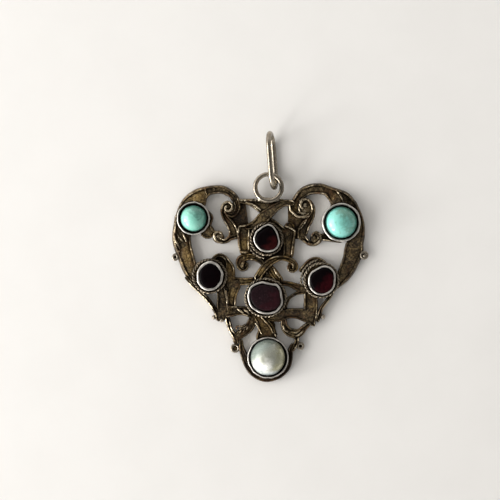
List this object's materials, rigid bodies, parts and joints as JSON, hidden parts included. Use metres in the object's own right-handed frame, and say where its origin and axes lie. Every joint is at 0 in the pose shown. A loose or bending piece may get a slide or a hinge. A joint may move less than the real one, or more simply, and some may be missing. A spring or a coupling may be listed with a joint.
{
  "type": "heart pendant",
  "caption": "Openwork heart pendant of scrolled silver straps with cup-set turquoise, garnet and pearl, a soldered ring on top and a loose wire bail.",
  "frame": {"origin": "middle of the whole pendant's plan, on the surface that its flat back lies on", "axes": "+Z out of the decorated face, +Y up the heart towards the ring and bail, +X to the right of the face"},
  "size_m": [0.0398, 0.0502, 0.0062],
  "materials": {
    "tarnished_silver": "cast silver with dark brown tarnish in the channels, worn gilding and bright rims",
    "bail_silver": "polished silver wire, lightly tarnished",
    "turquoise_stone": "polished, faintly mottled",
    "garnet_stone": "polished, almost black wine red",
    "pale_garnet_stone": "polished flat, purple grey",
    "pearl_surface": "lustrous, grey with an olive side"
  },
  "bodies": {
    "heart": {"heart_frame": "tarnished_silver", "turquoise_left": "turquoise_stone", "turquoise_right": "turquoise_stone", "garnet_top": "garnet_stone", "garnet_left": "garnet_stone", "garnet_right": "garnet_stone", "garnet_centre": "pale_garnet_stone", "pearl": "pearl_surface"},
    "bail": {"bail": "bail_silver"}
  },
  "joints": [
    {"name": "bail_swing", "type": "hinge", "parent": "heart", "child": "bail", "pos_m": [0.00062, 0.01645, 0.0017], "axis": [1, 0, 0], "range_deg": [0, 100]}
  ]
}
